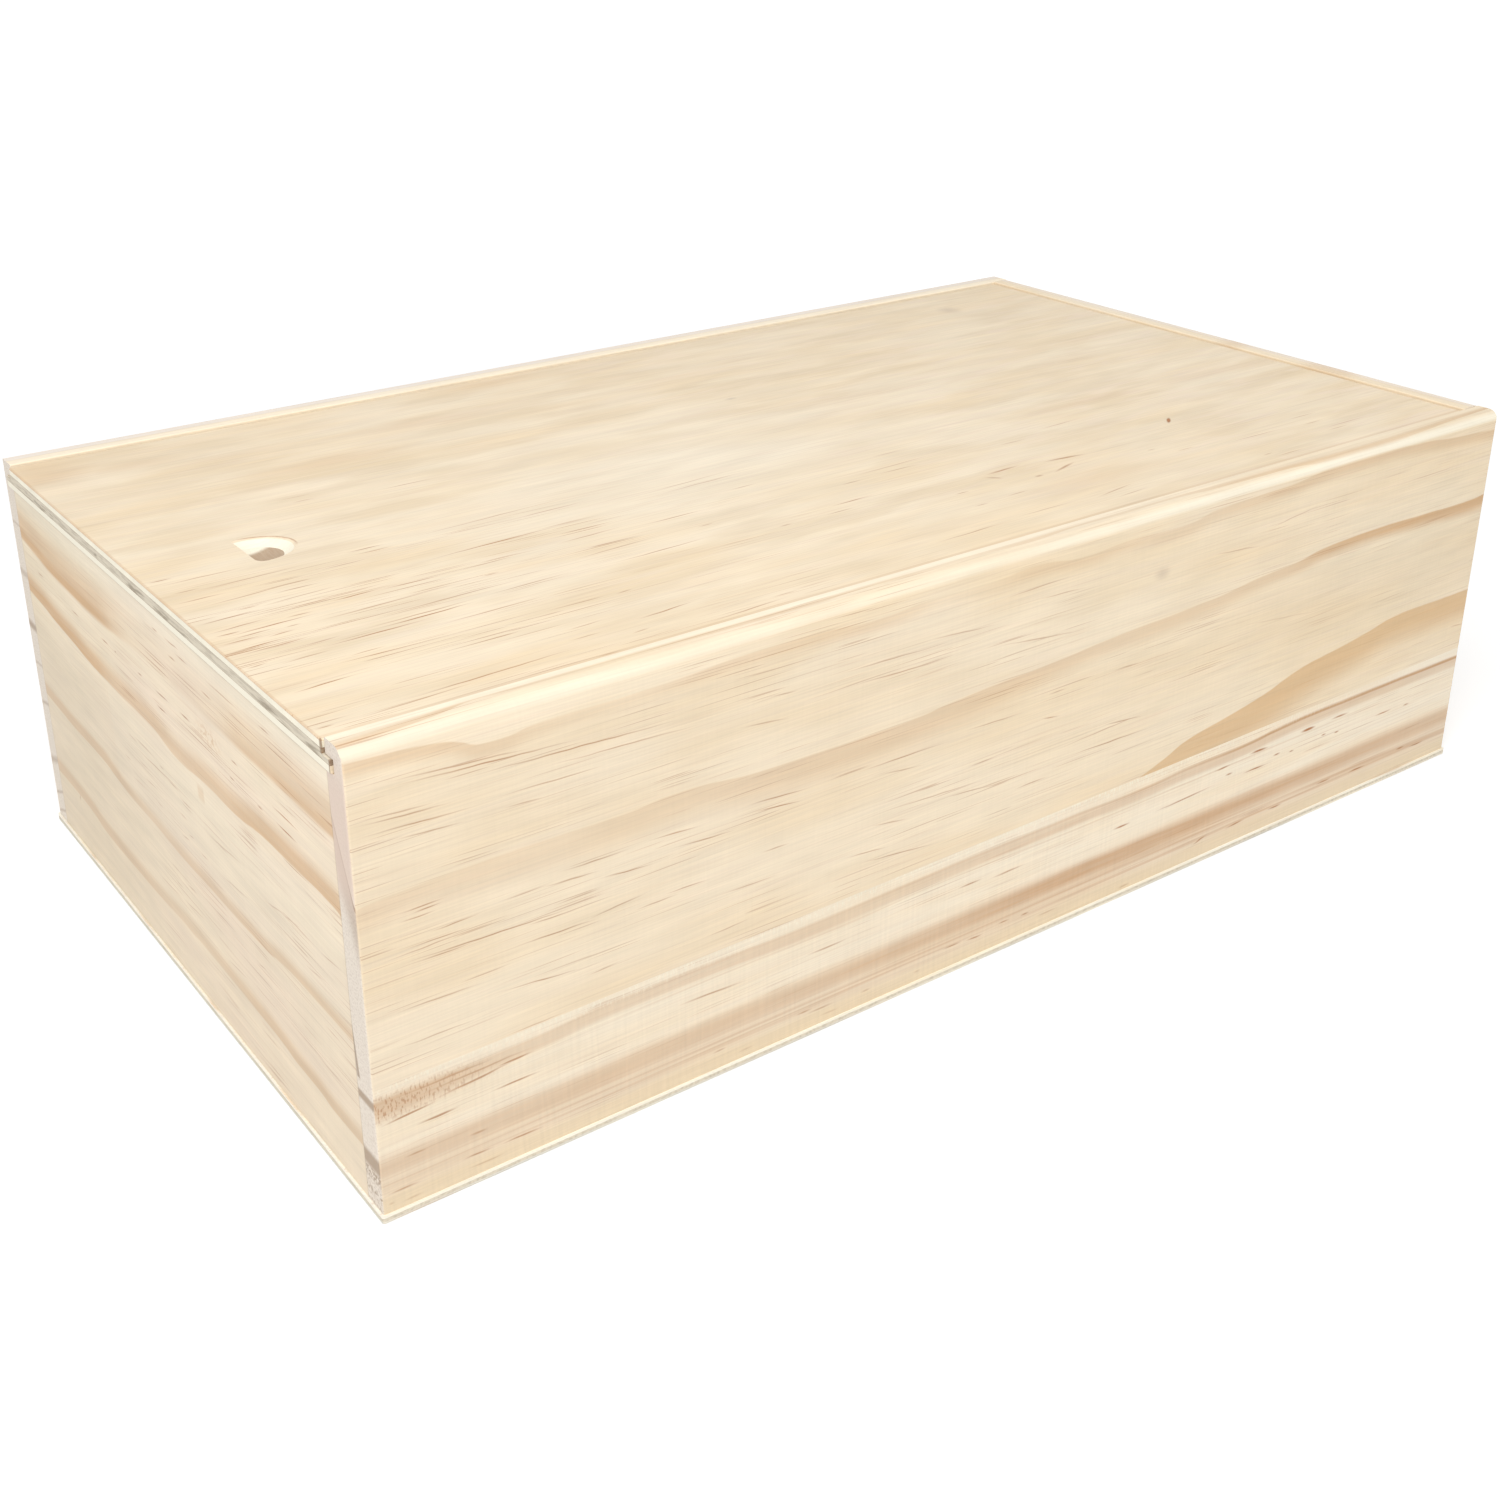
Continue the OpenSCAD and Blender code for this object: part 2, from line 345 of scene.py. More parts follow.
    def wood(self, ground, latewood, marks, late=LATEWOOD, dashes=0.3, chatter=0.3,
             mottle=(16, 4, 0.1), tints=(), ends=None):
        """Ends the board's material: rings and streaks over the ground, relief under them.

        mottle is the clouds' length, pitch and strength, tints are (share, colour) pairs laid
        over the whole, and ends is the end grain's colour.
        """
        fibre = self.noise(24, 0.42, detail=2, warp=0.2)
        vein = self.noise(45, 1.6, detail=2)
        cloud_length, cloud_pitch, cloud_strength = mottle
        cloud = self.noise(cloud_length, cloud_pitch, detail=3)
        cuts = self.noise(0.85, 14)
        painted = self.mix(vein.ramp(0.42, 0.75) * 0.3, ground, PINKISH)
        painted = self.mix(latewood * (fibre * 0.5 + vein * 0.5 + 0.5), painted, late)
        fine = self.noise(24, 0.34, detail=0).ramp(0.66, 0.76) * self.noise(60, 9).ramp(0.4, 0.6)
        lines = marks * (self.noise(9, 0.5) * 0.8 + 1.4)
        faint = self.noise(36, 0.5).ramp(0.5, 0.8) * 0.13
        painted = self.mix(lines.larger(fine * dashes).larger(faint), painted, STREAK)
        for share, tint in tints:
            painted = self.mix(share, painted, tint)
        shade = (fibre - 0.5) * FIBRE_SHADE + (cuts - 0.5) * (CHATTER_SHADE * chatter) + 1.0
        shade = shade + (cloud - 0.5) * cloud_strength
        painted = self.mix(1.0, painted, self.vector(shade, shade, shade), blend="MULTIPLY")
        if ends is not None:
            painted = self.mix(self.end_grain(), painted, ends)
        return self.surface(painted, (fibre - 0.5) * FIBRE_ROUGHNESS + SANDED_ROUGHNESS,
                            height=fibre * FIBRE_RELIEF + cuts * chatter)

    def end_colour(self, marks, pale=END_PALE, dark=END_DARK_AND_SHADOW):
        """The end grain's colour: fine pores, and marks as the rings' dark parts."""
        pores = self.noise(0.7, 0.5, detail=2)
        return self.mix(marks, self.mix(pores.ramp(0.4, 0.75) * 0.25, pale, dark), dark)

    def rim_tints(self, lip, outer_share=0.8, inner_share=0.8):
        """Tints of a rim's top, lip mm in: a painted reflection, greyer, outside, and painted
        light, creamy, inside and down the lip.
        """
        top = self.across.ramp(0.8, 1.4, 1.0, 0.0)
        # The lavender is a painted reflection on the outer part; the cream is painted light on
        # the inner part and the lip
        return [(top * self.depth.ramp(lip - 4.0, lip - 2.5, outer_share, 0.0), REFLECTION_LAVENDER),
                (top * self.depth.ramp(lip - 3.6, lip - 2.2, 0.0, inner_share), CREAM)]


def right_side_upper_lath():
    """Flat-sawn: three rings with sharp upper edges, which climb towards the rear."""
    b = Board("upper_lath_wood", ALONG_BOX, FROM_RIM, INTO_RIGHT, seed=1)
    b.bend(sway=0.35, tilt=1.7)
    top = b.along.line([
        (0, 3.0), (10, 3.5), (20, 4.5), (26, 6.2), (32, 7.5), (37, 7.2), (42, 6.6), (70, 6.5),
        (100, 5.3), (115, 5.5), (130, 6.5), (148, 5.6), (160, 6.0), (178, 5.0), (195, 6.5),
        (210, 5.8), (225, 6.4), (240, 4.6), (270, 3.8), (300, 2.3), (325, 3.0), (340, 4.2),
        (360, 5.3)])
    middle = b.along.line([
        (0, 34.7), (15, 33.5), (45, 33.3), (62, 33.6), (73, 32.9), (98, 34.6), (137, 34.8),
        (152, 33.7), (185, 32.3), (205, 31), (240, 29.8), (265, 27.6), (275, 27.2),
        (288, 25.5), (308, 24.8), (335, 25.3), (345, 25.6), (360, 24.9)])
    low = b.along.line([
        (215, 77), (222, 75), (230, 72.5), (240, 69), (252, 67.4), (268, 64.5), (287, 60),
        (300, 58.7), (312, 57), (325, 54.9), (345, 55), (360, 55.1)])
    top_force = b.along.line([
        (0, 0.4), (25, 0.5), (40, 0.35), (60, 0.25), (110, 0.35), (140, 0.25), (158, 0.12),
        (180, 0.35), (215, 0.25), (250, 0.4), (300, 0.5), (360, 0.5)])
    middle_force = b.along.line([
        (0, 0.35), (60, 0.4), (110, 0.5), (180, 0.45), (240, 0.4), (270, 0.5), (300, 0.85),
        (360, 0.95)])
    middle_fade = b.along.line([
        (0, 9), (60, 10), (150, 10), (190, 6), (240, 6), (290, 5), (360, 6.5)])
    low_fade = b.along.line([
        (215, 6), (240, 14), (270, 17), (300, 13), (330, 12), (360, 13)])
    latewood = b.ring(top, 4.5, top_force)
    latewood = latewood.larger(b.ring(middle, middle_fade, middle_force))
    low_ring = b.ring(low, low_fade, 0.66) * b.along.ramp(214, 222)
    latewood = latewood.larger(low_ring)
    marks = b.marks([
        (6, 44, 9.2, 11.8, 0.5), (6, 56, 10.4, 13.2, 0.6), (22, 80, 13.4, 15.8, 0.6),
        (0, 20, 15.6, 17.0, 0.4), (0, 24, 16.8, 18.0, 0.5), (0, 30, 19.2, 20.6, 0.5),
        (8, 26, 22.0, 23.2, 0.45), (29, 60, 19.8, 20.8, 0.45), (32, 44, 22.8, 23.6, 0.4),
        (40, 84, 16.6, 18.4, 0.45), (98, 108, 17.0, 17.8, 0.4), (90, 106, 22.2, 23.8, 0.4),
        (116, 152, 16.8, 17.8, 0.4), (120, 154, 20.8, 21.8, 0.45), (142, 168, 15.4, 17.2, 0.35),
        (164, 198, 22.6, 26.4, 0.35), (166, 192, 11.0, 10.4, 0.35), (178, 196, 14.0, 14.6, 0.35),
        (8, 20, 38.6, 38.4, 0.55), (11, 19, 39.4, 39.2, 0.6), (8, 18, 40.6, 40.4, 0.5),
        (14, 28, 45.0, 44.8, 0.5), (8, 26, 46.8, 47.2, 0.5), (2, 28, 48.2, 47.8, 0.4),
        (4, 54, 49.8, 51.6, 0.6), (10, 26, 50.8, 50.9, 0.5), (36, 50, 51.6, 52.2, 0.5),
        (30, 44, 43.8, 43.8, 0.4), (40, 56, 44.0, 44.9, 0.5), (44, 64, 41.8, 42.3, 0.5),
        (54, 70, 46.8, 48.0, 0.55), (66, 82, 41.9, 42.8, 0.5), (92, 112, 41.8, 43.0, 0.6),
        (94, 110, 44.0, 45.6, 0.65), (72, 92, 45.8, 47.0, 0.5), (32, 56, 55.5, 56.3, 0.55),
        (50, 68, 55.8, 54.2, 0.45), (70, 84, 56.4, 56.9, 0.5), (62, 76, 57.8, 57.5, 0.4),
        (4, 28, 60.6, 61.2, 0.45), (28, 52, 64.9, 67.2, 0.5), (4, 26, 69.0, 69.4, 0.4),
        (84, 104, 61.9, 62.5, 0.4), (50, 60, 69.3, 69.0, 0.4), (80, 96, 71.6, 71.0, 0.35),
        (28, 48, 76.4, 76.2, 0.35), (96, 106, 55.0, 55.4, 0.4), (122, 154, 43.4, 43.7, 0.5),
        (130, 146, 46.0, 47.8, 0.35), (126, 170, 56.0, 58.2, 0.35), (128, 142, 58.8, 61.0, 0.4),
        (150, 171, 58.6, 60.6, 0.4), (120, 136, 64.8, 66.4, 0.45), (124, 152, 67.6, 70.8, 0.5),
        (156, 178, 42.5, 43.2, 0.4), (158, 170, 52.6, 52.8, 0.4), (174, 188, 64.0, 63.9, 0.4),
        (182, 190, 46.8, 47.8, 0.4), (184, 192, 40.6, 40.6, 0.35), (186, 224, 57.2, 55.8, 0.35),
        (190, 226, 60.2, 61.0, 0.5), (204, 222, 55.0, 56.8, 0.45), (206, 220, 40.4, 40.8, 0.35),
        (240, 262, 16.8, 18.8, 0.3), (262, 284, 14.6, 12.0, 0.3), (312, 350, 13.6, 13.0, 0.2),
        (310, 330, 48.4, 47.8, 0.2), (352, 362, 65.6, 66.4, 0.25), (252, 296, 40.0, 45.0, 0.15)])
    ground = b.mix(b.along.ramp(120, 330, 0.0, 0.55), b.ground(), b.ground(GREENISH, WARM))
    # On the end grain a dark ring slants up through the lath, and a second one leaves a sliver
    past_slant = b.across - (b.depth * -2.6 + 35.2)
    slant = past_slant.window(-0.6, 0.6, 0.35) * b.across.window(14, 38, 2) * 1.3
    slant = slant.larger(b.ring(0.0, 18.0, 0.42, crisp=0.3, at=past_slant))
    sliver = b.ring(b.depth * -8.4 + 123.3, 18.0, 0.7, crisp=0.6, at=b.across)
    ends = b.end_colour(slant.larger(sliver), dark=BURNT)
    ends = b.mix(b.across.window(5, 34, 6) * 0.75, ends, END_PINK)
    return b.wood(
        ground, latewood, marks, dashes=b.along.ramp(60, 320, 0.6, 0.3), mottle=(20, 3, 0.17),
        tints=[(low_ring * 0.55, OCHRE), (b.patch(222.5, 17.5, 4.0, 2.6, 0.4), VIOLET_GREY),
               # Painted shade: darker towards the front end, below the rim
               (b.along.ramp(280, 60, 0.0, 0.28) * b.across.ramp(4, 12), PAINTED_SHADE),
               (b.along.ramp(240, 300, 0.0, 0.25) * b.across.window(32, 52, 4), SHADED),
               # Painted highlight: a light band along the rounded top edge, stronger towards the
               # rear
               (b.across.window(0.6, 2.4, 0.6) * b.along.ramp(120, 300, 0.35, 0.8), FRESH_CUT_AND_HIGHLIGHT),
               # Painted light: the inner edge of the rim's top made creamier, over the wood's own
               # cream, more towards the front
               (b.across.ramp(0.3, 0.7, 1.0, 0.0) * b.depth.ramp(4.2, 5.2)
                * b.along.ramp(120, 270, 0.75, 0.25), CREAM)],
        ends=ends)


def right_side_lower_lath():
    """Straight-grained: a thin dark ring, a broad brown one, and cutter marks up the face."""
    b = Board("lower_lath_wood", ALONG_BOX, FROM_RIM, INTO_RIGHT, seed=21)
    b.bend(sway=0.2, tilt=0.1)
    thin = b.along.line([
        (0, 80.5), (40, 80), (60, 79), (90, 79.3), (110, 79.8), (130, 79.5), (165, 79),
        (200, 79), (220, 79.3), (240, 78.6), (262, 78.5), (275, 77.7), (300, 77), (360, 77.3)])
    hairline = b.along.line([
        (0, 83.5), (60, 83.3), (90, 83), (120, 83.2), (150, 82.5), (200, 83), (240, 82.8),
        (360, 81.5)])
    from_thin = b.bent - thin
    thin_ring = from_thin.window(-0.55, 0.55, 0.5) * b.along.line([
        (0, 0.8), (40, 0.5), (90, 0.5), (130, 0.55), (240, 0.7), (280, 1.0), (360, 1.05)])
    tail = from_thin.window(-0.5, 2.9, 0.7) * 0.45
    yellow = (b.bent - hairline).window(-0.2, 0.2, 0.25) * b.along.window(55, 320, 30) * 0.35
    broad = b.bent.window(94.0, 99.6, 1.9) * b.along.line([
        (0, 0.6), (30, 0.65), (60, 0.65), (150, 0.75), (200, 0.88), (270, 0.78), (360, 0.62)])
    threads = b.noise(110, 0.8, detail=2).ramp(0.4, 0.65)
    broad = broad.larger(b.bent.window(98, 104, 2.2) * (threads * 0.35 + 0.35))
    broad = broad.larger(b.bent.window(97.0, 97.6, 0.6) * b.along.ramp(100, 200, 0.6, 0.9))
    latewood = thin_ring.larger(tail).larger(yellow).larger(broad)
    marks = b.marks([
        (0, 15, 86.2, 85.2, 0.8), (12, 34, 84.8, 83.2, 0.7), (2, 30, 80.7, 80.5, 0.6),
        (6, 40, 82.3, 81.7, 0.5), (27, 38, 83.2, 82.8, 0.8), (8, 20, 89.1, 89.1, 0.7),
        (25, 40, 88.6, 88.6, 0.6), (72, 95, 86.5, 87.3, 0.5), (109, 125, 87.4, 87.4, 0.45),
        (157, 167, 86.3, 86.3, 0.45), (168, 182, 87.2, 87.2, 0.45), (212, 220, 88, 88, 0.6),
        (226, 254, 88, 87, 0.5), (256, 260, 85.5, 85.5, 0.5), (263, 275, 87.3, 87.3, 0.6),
        (276, 280, 85.5, 85.5, 0.5), (283, 286, 86.4, 86.4, 0.5), (297, 300, 85.4, 85.4, 0.5),
        (303, 306, 86.4, 86.4, 0.5), (321, 331, 86.3, 86.3, 0.5), (335, 339, 86.7, 86.7, 0.4),
        (0, 10, 103.5, 103.5, 0.5), (18, 27, 102.9, 102.9, 0.6), (27, 40, 103.2, 103.2, 0.6),
        (1, 3, 106, 106, 0.5), (4, 10, 106.7, 106.7, 0.5), (19, 30, 105.8, 105.8, 0.8),
        (5, 12, 96, 96, 0.5), (20, 26, 97.5, 97.5, 0.5), (83, 88, 103.5, 103.5, 0.45),
        (90, 96, 106.3, 106.3, 0.45), (107, 113, 103, 103, 0.45), (110, 120, 104, 104, 0.45),
        (114, 122, 106.2, 106.2, 0.45), (127, 131, 104.6, 104.6, 0.45),
        (144, 147, 105.6, 105.6, 0.4), (153, 161, 102.5, 102.5, 0.5), (161, 168, 103, 103, 0.5),
        (172, 177, 102, 102, 0.45), (180, 184, 102.4, 102.4, 0.45),
        (185, 195, 104.8, 104.8, 0.5), (216, 222, 107.3, 107.3, 0.6),
        (245, 252, 104, 102.3, 0.5), (258, 268, 103.2, 102.7, 0.5), (276, 284, 103, 103, 0.5),
        (297, 306, 101.5, 101.5, 0.5), (312, 322, 102.2, 102.2, 0.6),
        (335, 340, 101.5, 101.5, 0.5), (341, 350, 102.5, 102.5, 0.5)], thick=0.4)
    blots = b.patches([
        (255, 82.8, 4, 0.5, 0.5), (270, 81.9, 5, 0.6, 0.6), (291, 81.5, 4, 0.7, 0.8),
        (305, 81.4, 5, 0.5, 0.5)])
    ticks = b.noise(0.5, 1.6, detail=2).ramp(0.5, 0.64)
    under_joint = (b.along.line([(0, 77.2), (360, 74.2)]) - b.across).size().ramp(0.0, 3.5, 1, 0)
    torn = b.along.ramp(4, 34, 1, 0) * b.across.window(79.2, 84.8, 1.4)
    level = b.noise(3, 0.9, detail=2)
    speckled = b.across.window(98, 101.5, 1.0).larger(b.across.window(104, 105, 0.5))
    # On the end grain the thin ring and the broad one show as bars, with specks below
    end_marks = b.across.window(79.9, 82, 0.5) * 0.8
    end_marks = end_marks.larger(b.across.window(94.5, 98.5, 0.9) * 0.8)
    end_marks = end_marks.larger(speckled * level.ramp(0.4, 0.6) * 0.8)
    end_marks = end_marks.larger(b.across.ramp(96, 99) * level.ramp(0.5, 0.62) * 0.4)
    return b.wood(
        b.ground(LOWER_PALE, PALE, cloud=(60, 6)), latewood, marks.larger(blots), late=RUSSET,
        dashes=0.35, chatter=b.along.ramp(200, 330, 0.8, 0.3),
        tints=[(under_joint * ticks * b.along.ramp(200, 340, 0.75, 0.3), FRESH_CUT_AND_HIGHLIGHT),
               (torn * 0.6, RUSSET), (torn * ticks * 0.95, STREAK),
               # Painted shade: darker towards the front end
               (b.along.ramp(280, 60, 0.0, 0.28), PAINTED_SHADE),
               (b.across.ramp(103.0, 105.5, 0.0, 0.65), SHADED)],
        ends=b.end_colour(end_marks))


def left_side_board():
    """Quarter-sawn, from its end grain: stripes along the face, tilted more lower down."""
    b = Board("left_board_wood", ALONG_BOX, FROM_RIM, INTO_LEFT, seed=41)
    b.bend(sway=0.5)
    b.bent = b.bent + b.depth * b.across.ramp(40, 100, 0.0, 0.4)
    stripes = b.stripes([
        (17.5, 0.3, 0.5, 0.55), (31.8, 1.0, 0.8, 0.5), (47.5, 1.1, 0.9, 0.9),
        (59.5, 0.4, 0.6, 0.5), (72, 0.5, 0.6, 0.6), (90.5, 1.0, 1.0, 0.6),
        (101, 0.4, 0.5, 0.6), (107, 0.4, 0.5, 0.6)])
    marks = b.marks([
        (14, 40, 24, 24.6, 0.5), (60, 92, 39, 38.2, 0.4), (120, 150, 54.5, 55, 0.5),
        (170, 205, 66, 65, 0.4), (220, 246, 28, 28.6, 0.5), (262, 300, 80.6, 80, 0.4),
        (310, 340, 42, 42.8, 0.5), (90, 130, 96.4, 96, 0.4)])
    return b.wood(
        b.ground(), stripes * 0.8, marks, dashes=0.3, tints=b.rim_tints(lip=7.0),
        ends=b.end_colour(stripes * 0.8))


def front_end_board():
    """Flat-sawn: four rings with sharp lower edges, and resin streaks between them."""
    b = Board("front_board_wood", FROM_LEFT, FROM_RIM, INTO_FRONT, seed=61)
    b.bend(sway=0.3)
    first = b.along.line([
        (7, 20.5), (20, 22), (40, 23.5), (65, 23.8), (80, 23), (100, 22), (150, 22), (203, 22)])
    second = b.along.line([
        (7, 35.8), (20, 36.8), (30, 38), (45, 39), (55, 40), (75, 40.3), (95, 40), (107, 41.2),
        (117, 42), (125, 41.5), (135, 40.8), (147, 41), (160, 39.8), (168, 39.2), (185, 39),
        (195, 38.7), (203, 39.8)])
    third = b.along.line([
        (7, 67), (20, 67.5), (30, 68), (50, 68), (62, 69), (75, 70), (90, 70.3), (107, 71),
        (130, 71), (157, 70.8), (165, 69.8), (177, 69), (203, 69)])
    fourth = b.along.line([
        (7, 90.8), (25, 91), (38, 91.8), (50, 93.2), (75, 93.3), (88, 93), (107, 92.2),
        (130, 92.3), (150, 92.5), (165, 93.3), (172, 94), (180, 94), (190, 95), (203, 95)])
    first_force = b.along.line([
        (7, 1.0), (60, 1.0), (80, 0.5), (100, 0.15), (140, 0.2), (160, 0.6), (203, 0.75)])
    second_force = b.along.line([
        (7, 0.95), (55, 0.95), (75, 0.62), (107, 0.6), (140, 0.62), (160, 0.8), (203, 0.8)])
    third_force = b.along.line([
        (7, 1.7), (60, 1.3), (90, 0.65), (120, 0.6), (160, 0.8), (203, 0.75)])
    fourth_force = b.along.line([
        (7, 1.45), (50, 1.25), (75, 0.9), (107, 0.58), (165, 0.85), (203, 0.75)])
    latewood = b.ring(first, 7.0, first_force, crisp=0.8, side=-1)
    latewood = latewood.larger(b.ring(first, 14.0, first_force * 0.65, crisp=0.8, side=-1))
    latewood = latewood.larger(b.ring(second, 8.0, second_force, side=-1))
    latewood = latewood.larger(b.ring(third, 5.0, third_force, side=-1))
    latewood = latewood.larger(b.ring(fourth, 5.5, fourth_force * 1.1, side=-1))
    marks = b.marks([
        (17, 24, 27, 27, 0.4), (44, 52, 28.5, 28.5, 0.4), (67, 74, 28.3, 28.3, 0.55),
        (77, 79, 28.4, 28.4, 0.5), (93, 97, 28, 28, 0.55), (104, 115, 28, 28, 0.5),
        (120, 128, 27.6, 27.6, 0.5), (150, 155, 27, 27, 0.5), (170, 187, 28.6, 28.6, 0.5),
        (104, 112, 32, 32, 0.6), (148, 152, 31.9, 31.9, 0.5), (163, 167, 32.2, 32.2, 0.5),
        (172, 185, 31.9, 31.9, 0.6), (108, 113, 11, 11, 0.5), (115, 127, 10.8, 10.5, 0.55),
        (122, 131, 12.4, 12.4, 0.5), (138, 162, 12.2, 12, 0.4), (168, 176, 11.2, 11.2, 0.6),
        (117, 123, 14.5, 14.5, 0.4), (136, 144, 16, 16, 0.4), (77, 87, 50, 50, 0.4),
        (82, 99, 49, 49, 0.45), (100, 104, 49.7, 49.7, 0.4), (80, 115, 52, 51, 0.5),
        (83, 94, 55, 55, 0.4), (73, 79, 58, 58, 0.35), (86, 98, 58.8, 58, 0.45),
        (76, 90, 62.5, 62, 0.35), (94, 100, 62, 62, 0.35), (104, 114, 51.5, 51.5, 0.45),
        (112, 122, 53, 53, 0.45), (112, 122, 54, 54, 0.4), (125, 153, 55.5, 53, 0.4),
        (133, 142, 54.6, 54.6, 0.35), (110, 117, 57.7, 57.7, 0.4), (115, 120, 61.5, 61, 0.45),
        (110, 117, 64, 63, 0.45), (122, 128, 63.2, 63.2, 0.45), (133, 155, 63.3, 61, 0.35),
        (160, 175, 57, 54, 0.4), (168, 182, 55.5, 53.5, 0.45), (189, 202, 54.5, 53.3, 0.45),
        (180, 192, 62.5, 61, 0.4), (99, 107, 77, 77, 0.35), (109, 117, 78, 77.5, 0.4),
        (100, 107, 81, 81, 0.35), (86, 107, 86, 84.5, 0.35), (103, 122, 84.5, 83, 0.35),
        (131, 146, 87.3, 86, 0.35), (152, 158, 77.5, 76.5, 0.4), (180, 199, 84.3, 84.3, 0.35),
        (188, 197, 73, 73, 0.35), (80, 107, 100, 99.3, 0.3), (129, 138, 99.5, 99.5, 0.3)],
        thick=0.28)
    knot = b.patch(25, 92, 1.9, 0.45, 0.6, turn=-1.1)
    speckle = b.patch(138, 27, 10, 4, 0.6) * b.noise(1.6, 1.2, detail=2).ramp(0.45, 0.6)
    step = b.along.ramp(66.6, 67.2) * b.across.window(42, 68, 3)
    tear = b.along.window(126.3, 130, 0.5) * b.across.window(43.5, 47, 0.8)
    seams = (b.along - 105).size().ramp(97.6, 97.95)
    ground = b.mix(b.along.ramp(30, 120), b.ground(GREENISH, PALE), b.ground(PALE, PINKISH))
    return b.wood(
        ground, latewood, marks.larger(knot), dashes=b.along.ramp(50, 110, 0.2, 0.65),
        mottle=(20, 4, 0.24),
        tints=[(speckle, LATEWOOD), (step * 0.15, FRESH_CUT_AND_HIGHLIGHT), (tear * 0.35, LATEWOOD),
               (b.across.ramp(7, 15, 0.4, 0.0), FRESH_CUT_AND_HIGHLIGHT),
               # Painted shade: the board darker lower down and towards its left
               (b.across.ramp(36, 60, 0.0, 0.34), PAINTED_SHADE),
               (b.across.window(42, 110, 3) * b.along.ramp(60, 120, 0.25, 0.0), PAINTED_SHADE),
               (b.across.ramp(74, 104, 0.0, 0.2), PAINTED_SHADE),
               # Painted shadow: a thin dark line along the top edge, under the lid
               (b.across.ramp(7.0, 7.5, 0.7, 0.0), END_DARK_AND_SHADOW),
               (seams * 0.4, END_DARK_AND_SHADOW)])


def rear_end_board():
    """Flat-sawn: three wide rings with sharp upper edges."""
    b = Board("rear_board_wood", FROM_LEFT, FROM_RIM, INTO_REAR, seed=81)
    b.bend(sway=0.5, tilt=1.2)
    latewood = b.ring(b.along.line([(0, 21), (60, 17), (130, 24), (210, 19)]), 9, 0.7)
    latewood = latewood.larger(
        b.ring(b.along.line([(0, 52), (70, 45), (140, 49), (210, 41)]), 10, 0.75))
    latewood = latewood.larger(
        b.ring(b.along.line([(0, 88), (60, 80), (150, 84), (210, 75)]), 8, 0.7))
    marks = b.marks([
        (20, 46, 12, 12.6, 0.5), (96, 128, 34, 33, 0.5), (60, 84, 64, 64.8, 0.45),
        (150, 180, 60, 59, 0.5), (30, 62, 98, 97.4, 0.45), (120, 146, 100, 101, 0.45)])
    blush = b.along.window(112, 120, 4).larger(b.along.window(145, 162, 4))
    return b.wood(
        b.ground(), latewood, marks,
        tints=b.rim_tints(lip=6.0, outer_share=0.6, inner_share=0.3)
        + [(blush * b.across.ramp(0.5, 4, 0.3, 0.0), LATEWOOD)],
        ends=b.end_colour(latewood))


